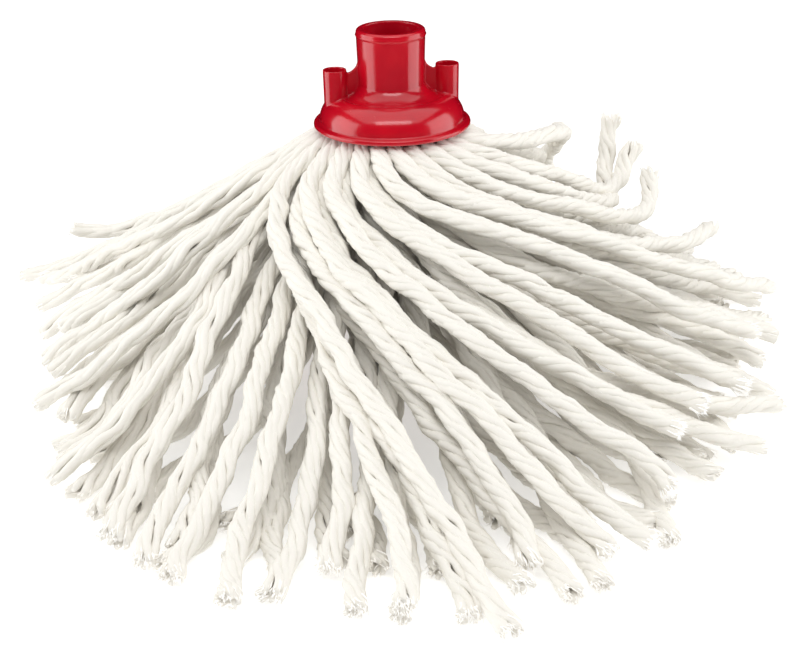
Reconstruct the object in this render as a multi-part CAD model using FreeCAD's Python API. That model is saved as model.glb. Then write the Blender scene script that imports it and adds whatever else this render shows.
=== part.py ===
import FreeCAD, Part
import math
import os

# String mop head: a one-piece moulded cap with a handle socket, a retainer plate that
# clamps the folded yarn up into the cap, and 172 yarn legs that lie on a level surface.
# Millimetres. The origin is the centre of the socket's mouth, +Z points up the handle.

# ---- driving dimensions ----
CAP_HEIGHT = 43.0            # mouth of the socket to the underside of the flange
FLANGE_ABOVE_SURFACE = 115.0  # how high the cap stands on its spread yarn
FLANGE_Z = -CAP_HEIGHT
SURFACE_Z = FLANGE_Z - FLANGE_ABOVE_SURFACE

FLANGE_R = 34.8
FLANGE_THICK = 2.2
BELL_R = 32.2
BELL_WALL = 2.0
SHOULDER_R = 23.5
SHOULDER_UP = 13.7           # heights named UP are above the underside of the flange
CEILING_UP = 11.5

SOCKET_TOP_R = 15.2
SOCKET_FOOT_R = 14.5
SOCKET_FOOT_UP = 18.5
SOCKET_FLOOR_UP = 14.0
RIM_CHAMFER = 0.8
BEAD_DROP = 2.6
BEAD_R = 0.45

BORE_R = 12.0
BORE_DEPTH = 7.0
THREAD_CREST_R = 10.4
THREAD_ROOT_R = 11.5
THREAD_PITCH = 5.0
THREAD_CREST = 1.6
THREAD_TURNS = 4

POST_AT_R = 25.0
POST_YAW = 9.4
POST_FOOT_R = 4.9
POST_TOP_R = 5.2
POST_BORE_R = 4.2
POST_TOP_UP = 26.0
WEB_THICK = 2.0
WEB_SOCKET_UP = 29.0
WEB_DIP_UP = 24.2             # the lowest point of the web's top edge, close to the post
WEB_DIP_R = 19.3
WEB_POST_UP = 24.9

STRAND_D = 7.0
STRAND_R = STRAND_D / 2
FOLD_R = 27.6                # side of the gathered fold, where the legs leave it
LEG_START_R = 28.0
LOWEST_LEG = 70.8            # centre of the lowest legs at the fold, above the surface
FOLD_FOOT_UP = LOWEST_LEG - STRAND_R - 0.4 - FLANGE_ABOVE_SURFACE
PLATE_R = 28.0
PLATE_THICK = 2.5
PIN_R = 3.9
PIN_TOP_UP = 22.0
PIN_CLEARANCE = 0.2
PIN_AT_R = POST_AT_R - 0.2

# ---- routes of the 40 strands that reach furthest ----
# Each point is (bearing, reach, height): degrees from the front, -Y, towards +X; distance
# from the handle's axis; and height of the strand's centre above the surface.
STRANDS = {
    # the heavy bundle that crosses from the left of the cap to the front
    "strand_sweep_01": [
        (291, 28, 111), (292, 37, 107), (297, 53, 97), (312, 70, 86), (330, 86, 76),
        (345, 108, 62), (355, 134, 46), (2, 162, 30), (6, 191, 16), (8, 218, 7), (9, 243, 4)],
    "strand_sweep_02": [
        (284, 28, 97.6), (287, 37, 94), (295, 51, 88), (310, 67, 81), (329, 82, 72),
        (345, 104, 58), (355, 131, 41), (1, 159, 26), (4, 187, 13), (6, 211, 5), (6, 229, 4)],
    "strand_sweep_03": [
        (298, 28, 97.6), (301, 37, 94), (310, 53, 85), (325, 73, 73), (340, 97, 59),
        (350, 124, 44), (356, 152, 30), (359, 180, 19), (1, 206, 11), (0, 226, 8)],
    "strand_sweep_04": [
        (298, 28, 104.3), (300, 37, 101), (308, 52, 93), (325, 69, 84), (343, 89, 73),
        (358, 113, 59), (7, 139, 43), (12, 164, 27), (14, 187, 14), (13, 205, 6)],
    # strands that leave the front left and sweep round to the right
    "strand_sweep_05": [
        (305, 28, 111), (307, 37, 107), (314, 52, 98), (331, 69, 88), (348, 89, 76),
        (2, 115, 61), (11, 141, 45), (17, 167, 29), (20, 190, 15), (22, 209, 7)],
    "strand_sweep_06": [
        (312, 28, 104.3), (314, 37, 101), (322, 52, 93), (338, 70, 83), (354, 93, 71),
        (8, 120, 55), (17, 147, 38), (22, 173, 23), (25, 194, 12), (27, 208, 6)],
    "strand_sweep_07": [
        (312, 28, 97.6), (315, 37, 93), (323, 53, 84), (338, 73, 71), (352, 98, 57),
        (3, 126, 41), (9, 154, 25), (14, 182, 11), (16, 207, 5), (16, 225, 4)],
    "strand_sweep_08": [
        (319, 28, 111), (321, 37, 107), (329, 52, 98), (345, 70, 88), (1, 91, 76),
        (14, 115, 61), (23, 139, 46), (29, 160, 33), (33, 177, 22), (34, 190, 14)],
    "strand_sweep_09": [
        (326, 28, 104.3), (328, 37, 101), (336, 52, 93), (352, 69, 84), (8, 89, 73),
        (21, 112, 59), (31, 135, 45), (38, 155, 32), (42, 171, 23)],
    "strand_sweep_10": [
        (333, 28, 111), (336, 37, 107), (346, 52, 98), (2, 68, 89), (18, 87, 78),
        (30, 109, 64), (38, 132, 49), (44, 153, 36), (48, 169, 27)],
    "strand_sweep_11": [
        (340, 28, 104.3), (343, 37, 102), (352, 51, 96), (8, 67, 88), (25, 85, 78),
        (38, 107, 65), (47, 131, 50), (54, 154, 36), (59, 172, 24)],
    "strand_sweep_12": [
        (347, 28, 111), (352, 38, 108), (3, 52, 100), (21, 67, 92), (40, 83, 83),
        (53, 104, 70), (61, 128, 55), (67, 150, 41), (73, 166, 31)],
    "strand_sweep_13": [
        (354, 28, 104.3), (356, 37, 100), (3, 52, 89), (12, 73, 75), (22, 98, 60),
        (31, 124, 45), (39, 149, 31), (47, 172, 18), (53, 190, 9)],
    "strand_sweep_14": [
        (340, 28, 97.6), (344, 37, 92), (354, 53, 81), (8, 73, 68), (22, 98, 53),
        (34, 124, 40), (46, 149, 28), (56, 170, 19), (63, 184, 14)],
    "strand_sweep_15": [
        (1, 28, 111), (6, 38, 108), (18, 52, 101), (35, 66, 93), (52, 82, 84),
        (65, 102, 72), (75, 125, 58), (85, 149, 43), (94, 171, 29), (100, 186, 20)],
    "strand_sweep_16": [
        (15, 28, 111), (19, 37, 107), (30, 51, 99), (46, 67, 90), (61, 84, 79),
        (75, 104, 66), (88, 125, 56), (98, 144, 51), (104, 159, 50)],
    # strands that pile up behind, on the right
    "strand_rear_01": [
        (29, 28, 111), (34, 38, 107), (46, 52, 99), (62, 69, 89), (78, 87, 79),
        (93, 106, 67), (105, 122, 58), (112, 133, 61), (116, 141, 73)],
    "strand_rear_02": [
        (43, 28, 111), (48, 38, 107), (60, 53, 100), (76, 70, 89), (93, 88, 76),
        (108, 106, 64), (119, 121, 58), (126, 131, 67), (129, 138, 80), (130, 143, 92)],
    "strand_rear_03": [
        (57, 28, 111), (62, 38, 107), (74, 53, 101), (89, 70, 91), (103, 88, 79),
        (113, 106, 68), (119, 123, 62), (123, 138, 68), (125, 148, 79)],
    "strand_rear_04": [
        (71, 28, 111), (76, 38, 109), (88, 54, 106), (102, 72, 104), (117, 90, 98),
        (131, 110, 87), (141, 132, 73), (148, 154, 58), (152, 174, 44), (153, 190, 34)],
    "strand_rear_05": [
        (85, 28, 111), (89, 37, 107), (101, 52, 99), (116, 71, 90), (131, 93, 80),
        (142, 117, 67), (150, 143, 52), (156, 169, 37), (160, 193, 23), (162, 212, 13)],
    # the fan on the left
    "strand_left_01": [
        (235, 28, 111), (236, 37, 107), (239, 53, 96), (240, 76, 81), (239, 104, 65),
        (237, 133, 50), (236, 160, 36), (238, 180, 31), (240, 193, 35)],
    "strand_left_02": [
        (249, 28, 111), (250, 37, 107), (253, 53, 97), (252, 76, 82), (249, 103, 66),
        (246, 131, 49), (244, 160, 32), (244, 188, 18), (246, 213, 11)],
    "strand_left_03": [
        (263, 28, 111), (264, 37, 107), (267, 53, 97), (267, 76, 82), (263, 102, 66),
        (257, 128, 50), (251, 154, 34), (248, 178, 20), (246, 198, 11)],
    "strand_left_04": [
        (256, 28, 104.3), (258, 37, 100), (261, 53, 90), (263, 74, 77), (262, 98, 62),
        (259, 122, 47), (256, 145, 32), (256, 166, 20), (257, 181, 12)],
    "strand_left_05": [
        (270, 28, 104.3), (272, 37, 100), (276, 53, 91), (279, 72, 80), (279, 94, 67),
        (276, 116, 52), (273, 136, 38), (271, 153, 26), (271, 166, 18)],
    "strand_left_06": [
        (277, 28, 111), (279, 37, 107), (284, 53, 97), (289, 73, 85), (291, 95, 70),
        (290, 116, 54), (287, 135, 40), (285, 151, 29), (285, 163, 21)],
    "strand_left_07": [
        (284, 28, 104.3), (287, 37, 101), (293, 53, 92), (300, 73, 80), (304, 96, 66),
        (303, 120, 51), (301, 142, 36), (298, 160, 24), (296, 173, 15)],
    "strand_left_08": [
        (256, 28, 97.6), (261, 37, 93), (274, 52, 85), (291, 70, 75), (305, 93, 61),
        (312, 119, 46), (314, 146, 31), (314, 172, 16), (312, 192, 7)],
    "strand_left_09": [
        (270, 28, 97.6), (275, 37, 93), (287, 53, 85), (302, 73, 74), (313, 98, 60),
        (320, 125, 45), (324, 153, 29), (325, 181, 14), (327, 205, 5)],
    "strand_left_10": [
        (284, 28, 90.9), (289, 37, 85), (301, 54, 74), (314, 76, 63), (323, 102, 51),
        (328, 131, 37), (330, 161, 22), (331, 189, 9), (333, 213, 4)],
    "strand_left_11": [
        (298, 28, 90.9), (303, 37, 84), (313, 54, 72), (323, 77, 61), (330, 104, 49),
        (334, 133, 36), (336, 163, 22), (336, 192, 8), (337, 217, 3.8)],
    "strand_left_12": [
        (312, 28, 90.9), (316, 37, 84), (325, 54, 72), (332, 78, 60), (337, 106, 48),
        (340, 136, 34), (341, 167, 20), (342, 198, 7), (344, 226, 3.8)],
    # strands that hang down the middle of the front
    "strand_front_01": [
        (326, 28, 97.6), (328, 37, 91), (334, 53, 79), (341, 75, 65), (346, 101, 51),
        (350, 129, 36), (352, 156, 22), (353, 180, 10), (352, 199, 5)],
    "strand_front_02": [
        (326, 28, 90.9), (329, 37, 83), (334, 54, 69), (339, 77, 55), (343, 105, 41),
        (346, 135, 28), (348, 166, 15), (348, 195, 5), (347, 217, 3.8)],
    "strand_front_03": [
        (340, 28, 90.9), (342, 37, 83), (346, 54, 69), (350, 78, 54), (353, 105, 40),
        (355, 135, 27), (356, 166, 15), (355, 197, 5), (356, 224, 3.8)],
    "strand_front_04": [
        (354, 28, 90.9), (354, 37, 83), (356, 55, 69), (357, 80, 53), (358, 108, 38),
        (359, 139, 24), (0, 171, 11), (1, 202, 4.2), (0, 228, 3.8)],
    "strand_front_05": [
        (8, 28, 90.9), (7, 37, 83), (6, 55, 68), (6, 79, 52), (7, 107, 36),
        (8, 137, 22), (9, 167, 9), (10, 194, 4), (12, 214, 3.8)],
    "strand_front_06": [
        (22, 28, 90.9), (21, 37, 83), (18, 55, 68), (18, 79, 52), (19, 107, 37),
        (20, 137, 23), (20, 168, 11), (20, 197, 4.2), (19, 221, 3.8)],
    "strand_front_07": [
        (0, 28, 97.6), (4, 37, 91), (13, 54, 77), (24, 77, 60), (32, 103, 43),
        (37, 131, 27), (37, 158, 14), (33, 184, 5), (29, 206, 3.8)],
}

# ---- the other 132 legs ----
# Height of a leg's centre above the surface at each reach, for each way down.
SLOPES = {
    "top": ((28, 111.0), (37, 107), (55, 95), (80, 79), (110, 61), (140, 43), (170, 26),
            (200, 12), (240, 4)),
    "second": ((28, 104.3), (37, 100), (55, 88), (80, 71), (110, 53), (140, 35), (170, 19),
               (200, 8), (240, 4)),
    "third": ((28, 97.6), (37, 92), (55, 79), (80, 63), (110, 45), (140, 28), (170, 13),
              (200, 5), (240, 4)),
    "fourth": ((28, 90.9), (37, 85), (55, 71), (80, 54), (110, 36), (140, 19), (170, 7),
               (200, 4), (240, 4)),
    "fourth_out": ((28, 90.9), (37, 86), (55, 76), (80, 64), (110, 49), (140, 34), (170, 18),
                   (200, 5), (240, 4)),
    "fifth": ((28, 84.2), (37, 78), (55, 62), (80, 45), (110, 28), (140, 12), (160, 4), (240, 4)),
    "fifth_out": ((28, 84.2), (37, 79), (55, 67), (80, 54), (110, 40), (140, 26), (170, 12),
                  (195, 4), (240, 4)),
    "sixth": ((28, 77.5), (37, 70), (55, 54), (80, 36), (110, 19), (140, 6), (155, 4), (240, 4)),
    "sixth_out": ((28, 77.5), (37, 71), (55, 58), (80, 44), (110, 30), (140, 16), (165, 5),
                  (200, 4), (240, 4)),
    "seventh": ((28, 70.8), (37, 63), (55, 46), (80, 27), (105, 11), (125, 4), (240, 4)),
}
# The groups of legs in each node. A group is its way down, then for each leg the bearing at
# the fold, the bearing at the cut end and the reach of the cut end.
LEGS = {
    "strands_top_back": (("top", (
        (99, 168, 205), (113, 175, 216), (127, 182, 198), (141, 188, 218), (155, 195, 206),
        (169, 201, 196), (183, 207, 220), (197, 212, 204), (211, 217, 214), (223, 223, 196))),),
    "strands_second_right": (("second", (
        (8, 84, 178), (22, 111, 172), (36, 122, 186), (50, 131, 178), (64, 139, 190))),),
    "strands_second_back": (("second", (
        (78, 147, 184), (92, 155, 202), (106, 164, 188), (120, 172, 206), (134, 180, 188),
        (148, 186, 210), (162, 193, 192), (176, 199, 206))),),
    "strands_second_left": (("second", (
        (190, 206, 190), (204, 212, 206), (218, 221, 192), (232, 234, 202), (244, 245, 186))),),
    "strands_third_right": (("third", (
        (14, 66, 180), (28, 78, 172), (42, 92, 180), (56, 104, 186), (70, 115, 196))),),
    "strands_third_back": (("third", (
        (84, 126, 186), (98, 136, 204), (112, 146, 192), (126, 155, 182), (140, 163, 206),
        (154, 171, 190), (168, 180, 202), (182, 190, 184))),),
    "strands_third_left": (("third", (
        (196, 199, 204), (210, 209, 188), (224, 221, 196), (238, 236, 186), (248, 264, 160))),),
    "strands_fourth_right": (("fourth", (
        (36, 43, 186), (50, 54, 180), (64, 70, 172), (78, 82, 170), (92, 97, 176))),),
    "strands_fourth_back": (("fourth", (
        (106, 108, 190), (120, 122, 180), (134, 135, 196), (148, 149, 182), (162, 160, 190),
        (176, 174, 200), (190, 188, 182), (204, 203, 194))),),
    "strands_fourth_left": (
        ("fourth", ((218, 216, 184), (232, 230, 192))),
        ("fourth_out", ((246, 250, 172), (260, 276, 156), (272, 292, 164)))),
    "strands_fifth_front": (
        ("fifth_out", ((262, 300, 168), (276, 312, 184), (290, 323, 196), (304, 334, 200))),
        ("fifth", ((318, 343, 198), (332, 352, 192), (346, 4, 200), (0, 16, 190),
                   (14, 29, 196), (28, 49, 172)))),
    "strands_fifth_side": (("fifth", (
        (42, 64, 166), (56, 77, 160), (70, 90, 164), (84, 103, 170), (220, 211, 184),
        (234, 226, 188), (248, 242, 172))),),
    "strands_fifth_back": (("fifth", (
        (98, 116, 182), (112, 129, 186), (126, 142, 180), (140, 155, 186), (154, 167, 178),
        (168, 180, 188), (182, 193, 180), (194, 204, 186), (207, 219, 178))),),
    "strands_sixth_front": (
        ("sixth_out", ((240, 286, 158), (253, 305, 176), (267, 317, 190), (281, 327, 206),
                       (295, 337, 212))),
        ("sixth", ((309, 347, 204), (323, 357, 196), (337, 8, 208), (351, 21, 200), (5, 24, 184),
                   (19, 36, 186)))),
    "strands_sixth_around": (("sixth", (
        (33, 40, 164), (47, 52, 160), (61, 66, 158), (75, 84, 162), (89, 97, 168), (103, 110, 174),
        (117, 123, 172), (131, 136, 176), (145, 149, 170), (159, 161, 180), (173, 174, 174),
        (187, 187, 178), (200, 199, 174), (213, 213, 176), (226, 232, 170))),),
    "strands_inmost_front": (("seventh", (
        (272, 278, 146), (294, 296, 158), (312, 309, 166), (330, 322, 172), (348, 338, 176),
        (6, 354, 172), (24, 12, 168), (42, 30, 162))),),
    "strands_inmost_back": (("seventh", (
        (62, 58, 152), (84, 78, 154), (106, 103, 160), (128, 128, 162), (150, 143, 164),
        (172, 167, 166), (194, 193, 164), (216, 222, 160))),),
}
LEG_STEPS = (0.0, 0.045, 0.13, 0.26, 0.41, 0.56, 0.71, 0.86, 1.0)   # shares of the way out
LEG_WANDER = 2.2             # degrees that a leg strays from an even sweep


def above_flange(up):
    return FLANGE_Z + up


def place(bearing, reach, height):
    """A point of a route as a vector."""
    angle = math.radians(bearing)
    return FreeCAD.Vector(reach * math.sin(angle), -reach * math.cos(angle), SURFACE_Z + height)


def slope_height(slope, reach):
    """Height of a leg's centre above the surface, between the points of its slope."""
    steps = SLOPES[slope]
    for (r0, h0), (r1, h1) in zip(steps, steps[1:]):
        if reach <= r1:
            return h0 + (h1 - h0) * (reach - r0) / (r1 - r0)
    return steps[-1][1]


def leg_route(slope, start, end, reach, number):
    """The route of one leg: a sweep from its place at the fold out to its cut end."""
    sweep = (end - start + 180) % 360 - 180
    points = []
    for step, share in enumerate(LEG_STEPS):
        out = LEG_START_R + (reach - LEG_START_R) * share
        turned = math.sin(share * math.pi / 2) ** 1.3
        stray = LEG_WANDER * share * math.sin(1.9 * step + 2.4 * number)
        points.append((start + sweep * turned + stray, out, slope_height(slope, out)))
    return points


def tube(points, radius):
    """A round tube on straight runs joined by tangent arcs, with its length and tightest arc."""
    edges = []
    tightest = None
    here = points[0]
    for before, corner, after in zip(points, points[1:], points[2:]):
        back = (before - corner).normalize()
        ahead = (after - corner).normalize()
        turn = math.pi - back.getAngle(ahead)
        cut = 0.45 * min((before - corner).Length, (after - corner).Length)
        bend = cut / math.tan(turn / 2)
        first = corner + back * cut
        last = corner + ahead * cut
        centre = corner + (back + ahead).normalize() * (bend / math.cos(turn / 2))
        middle = centre + (corner - centre).normalize() * bend
        edges.append(Part.LineSegment(here, first).toShape())
        edges.append(Part.Arc(first, middle, last).toShape())
        here = last
        tightest = bend if tightest is None else min(tightest, bend)
    edges.append(Part.LineSegment(here, points[-1]).toShape())
    path = Part.Wire(edges)
    section = Part.Wire([Part.makeCircle(radius, points[0], points[1] - points[0])])
    solid = path.makePipeShell([section], True, False)
    share = solid.Volume / (math.pi * radius ** 2 * path.Length)
    return solid, path.Length, tightest, share


def report_tube(name, length, tightest, share):
    print(f"{name}: length {length:.1f}, tightest arc {tightest:.1f}, volume share {share:.4f}")


def revolve(edges):
    return Part.Face(Part.Wire(edges)).revolve(
        FreeCAD.Vector(0, 0, 0), FreeCAD.Vector(0, 0, 1), 360)


def profile(*steps):
    """Edges through (r, z) steps. A step of two pairs is an arc: a point on it, then its end."""
    vectors = [[FreeCAD.Vector(r, 0, z) for r, z in (step if isinstance(step[0], tuple) else (step,))]
               for step in steps]
    edges = []
    here = vectors[0][-1]
    for step in vectors[1:] + [vectors[0]]:
        if len(step) == 2:
            edges.append(Part.Arc(here, step[0], step[1]).toShape())
        elif (step[-1] - here).Length > 1e-6:
            edges.append(Part.LineSegment(here, step[-1]).toShape())
        here = step[-1]
    return edges


def post_centre(side):
    yaw = math.radians(POST_YAW)
    return FreeCAD.Vector(side * POST_AT_R * math.cos(yaw), side * POST_AT_R * math.sin(yaw), 0)


def cap_outside():
    """The outer form of flange, bell and socket."""
    up = above_flange
    bead_z = -BEAD_DROP
    return revolve(profile(
        (0, up(0)),
        (FLANGE_R - 0.5, up(0)),
        ((FLANGE_R, up(FLANGE_THICK / 2)), (FLANGE_R - 0.5, up(FLANGE_THICK))),
        (BELL_R + 0.3, up(FLANGE_THICK + 0.2)),
        ((BELL_R, up(FLANGE_THICK + 0.6)), (BELL_R - 0.1, up(FLANGE_THICK + 1.4))),
        ((30.0, up(9.4)), (SHOULDER_R, up(SHOULDER_UP))),
        ((17.2, up(15.2)), (SOCKET_FOOT_R, up(SOCKET_FOOT_UP))),
        (SOCKET_TOP_R - 0.05, bead_z - BEAD_R),
        ((SOCKET_TOP_R - 0.05 + BEAD_R, bead_z), (SOCKET_TOP_R, bead_z + BEAD_R)),
        (SOCKET_TOP_R, -RIM_CHAMFER),
        (SOCKET_TOP_R - RIM_CHAMFER, 0),
        (0, 0)))


def bell_space(foot_up):
    """The hollow of the bell above foot_up, which the gathered yarn fills."""
    up = above_flange
    wall_r = BELL_R - BELL_WALL
    return revolve(profile(
        (0, up(foot_up)),
        (wall_r, up(foot_up)),
        (wall_r, up(3.0)),
        ((28.4, up(8.4)), (SHOULDER_R - 0.5, up(CEILING_UP))),
        (0, up(CEILING_UP))))


def socket_space():
    """The socket's hollow: a plain entry, then the ribs of a coarse thread."""
    crests_z = [-BORE_DEPTH - turn * THREAD_PITCH for turn in range(THREAD_TURNS)]
    steps = [(0, 0.5), (BORE_R, 0.5), (BORE_R, -BORE_DEPTH)]
    for z in crests_z:
        steps.append((THREAD_CREST_R, z - 0.5))
        steps.append((THREAD_CREST_R, z - 0.5 - THREAD_CREST))
        steps.append((THREAD_ROOT_R, z - 1.4 - THREAD_CREST))
        steps.append((THREAD_ROOT_R, z - THREAD_PITCH + 0.4))
    floor_z = above_flange(SOCKET_FLOOR_UP)
    steps.append((THREAD_ROOT_R - 1.5, floor_z))
    steps.append((0, floor_z))
    return revolve(profile(*steps))


def web(side):
    """The thin rib between the socket and one post, with its dished top edge."""
    up = above_flange
    inner, outer = 13.5, POST_AT_R - POST_BORE_R - 0.4
    edge = profile(
        (inner, up(12.6)),
        (outer, up(12.6)),
        (outer, up(WEB_POST_UP)),
        (WEB_DIP_R, up(WEB_DIP_UP)),
        ((16.4, up(WEB_DIP_UP + 1.6)), (14.8, up(WEB_SOCKET_UP))),
        (inner, up(WEB_SOCKET_UP)))
    plate = Part.Face(Part.Wire(edge)).extrude(FreeCAD.Vector(0, WEB_THICK, 0))
    plate.translate(FreeCAD.Vector(0, -WEB_THICK / 2, 0))
    plate.rotate(FreeCAD.Vector(0, 0, 0), FreeCAD.Vector(0, 0, 1), POST_YAW + (0 if side > 0 else 180))
    return plate


def socket_cap():
    """The whole red moulding: flange, bell, socket, two hollow posts and their webs."""
    shape = cap_outside()
    foot_z = above_flange(4.0)
    height = above_flange(POST_TOP_UP) - foot_z
    for side in (-1, 1):
        post = Part.makeCone(POST_FOOT_R, POST_TOP_R, height)
        post.translate(post_centre(side) + FreeCAD.Vector(0, 0, foot_z))
        shape = shape.fuse(post).fuse(web(side))
    shape = shape.cut(bell_space(-1.0)).cut(socket_space())
    for side in (-1, 1):
        hollow = Part.makeCylinder(POST_BORE_R, POST_TOP_UP + 2)
        hollow.translate(post_centre(side) + FreeCAD.Vector(0, 0, above_flange(0)))
        shape = shape.cut(hollow)
    return shape.removeSplitter()


def pin(side, radius, top_up):
    """A retainer pin from the plate up into a post."""
    foot_z = above_flange(FOLD_FOOT_UP)
    shape = Part.makeCylinder(radius, above_flange(top_up) - foot_z)
    shape.translate(post_centre(side) * (PIN_AT_R / POST_AT_R) + FreeCAD.Vector(0, 0, foot_z))
    return shape


def retainer():
    """The plate under the fold, with its two pins."""
    plate = Part.makeCylinder(PLATE_R, PLATE_THICK)
    plate.translate(FreeCAD.Vector(0, 0, above_flange(FOLD_FOOT_UP) - PLATE_THICK))
    shape = plate.fuse(pin(-1, PIN_R, PIN_TOP_UP)).fuse(pin(1, PIN_R, PIN_TOP_UP))
    return shape.removeSplitter()


def yarn_fold():
    """The middle of the hank, folded and pressed up into the bell."""
    foot_z = above_flange(FOLD_FOOT_UP)
    waist = Part.makeCylinder(FOLD_R, above_flange(0) - foot_z)
    waist.translate(FreeCAD.Vector(0, 0, foot_z))
    shape = bell_space(0.0).fuse(waist)
    for side in (-1, 1):
        shape = shape.cut(pin(side, PIN_R + PIN_CLEARANCE, PIN_TOP_UP))
    return shape.removeSplitter()


def save(shape, name):
    os.makedirs("parts", exist_ok=True)
    shape.exportStep(f"parts/{name}.step")


save(socket_cap(), "socket_cap")
save(retainer(), "retainer_plate")
save(yarn_fold(), "yarn_fold")

for name, route in STRANDS.items():
    solid, length, tightest, share = tube([place(*point) for point in route], STRAND_R)
    report_tube(name, length, tightest, share)
    save(solid, name)

number = 0
for name, groups in LEGS.items():
    solids = []
    for slope, legs in groups:
        for start, end, reach in legs:
            number += 1
            route = leg_route(slope, start, end, reach, number)
            solid, length, tightest, share = tube([place(*point) for point in route], STRAND_R)
            report_tube(f"{name} leg {number}", length, tightest, share)
            solids.append(solid)
    save(Part.makeCompound(solids), name)
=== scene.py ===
import math

import bmesh
import bpy
import numpy as np
from mathutils import Euler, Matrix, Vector


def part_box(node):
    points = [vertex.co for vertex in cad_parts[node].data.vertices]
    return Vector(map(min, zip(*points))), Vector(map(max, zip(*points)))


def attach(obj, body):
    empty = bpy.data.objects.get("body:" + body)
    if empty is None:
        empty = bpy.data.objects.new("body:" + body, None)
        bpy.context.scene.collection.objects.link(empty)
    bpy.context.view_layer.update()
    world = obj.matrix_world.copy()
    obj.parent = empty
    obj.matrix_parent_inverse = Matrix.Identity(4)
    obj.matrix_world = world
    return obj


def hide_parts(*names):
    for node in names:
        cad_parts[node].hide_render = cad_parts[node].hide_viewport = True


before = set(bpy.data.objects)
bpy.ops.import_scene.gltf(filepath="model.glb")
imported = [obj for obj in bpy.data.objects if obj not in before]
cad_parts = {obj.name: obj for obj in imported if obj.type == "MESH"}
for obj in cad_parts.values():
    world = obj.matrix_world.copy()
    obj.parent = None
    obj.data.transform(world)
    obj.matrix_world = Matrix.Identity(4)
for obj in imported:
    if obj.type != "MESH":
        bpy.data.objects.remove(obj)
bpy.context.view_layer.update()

bl_info = {
    "name": "String mop head",
    "version": (1, 0, 0),
    "blender": (4, 5, 0),
    "location": "View3D > Sidebar > String mop",
    "description": "Builds the looks of a cotton string mop head around its frame",
    "category": "Object",
}

FOLD_LOW, FOLD_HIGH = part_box("yarn_fold")
FLANGE_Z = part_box("socket_cap")[0].z    # underside of the cap's flange
SURFACE_Z = -0.158                      # the surface that the yarn lies on

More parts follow.
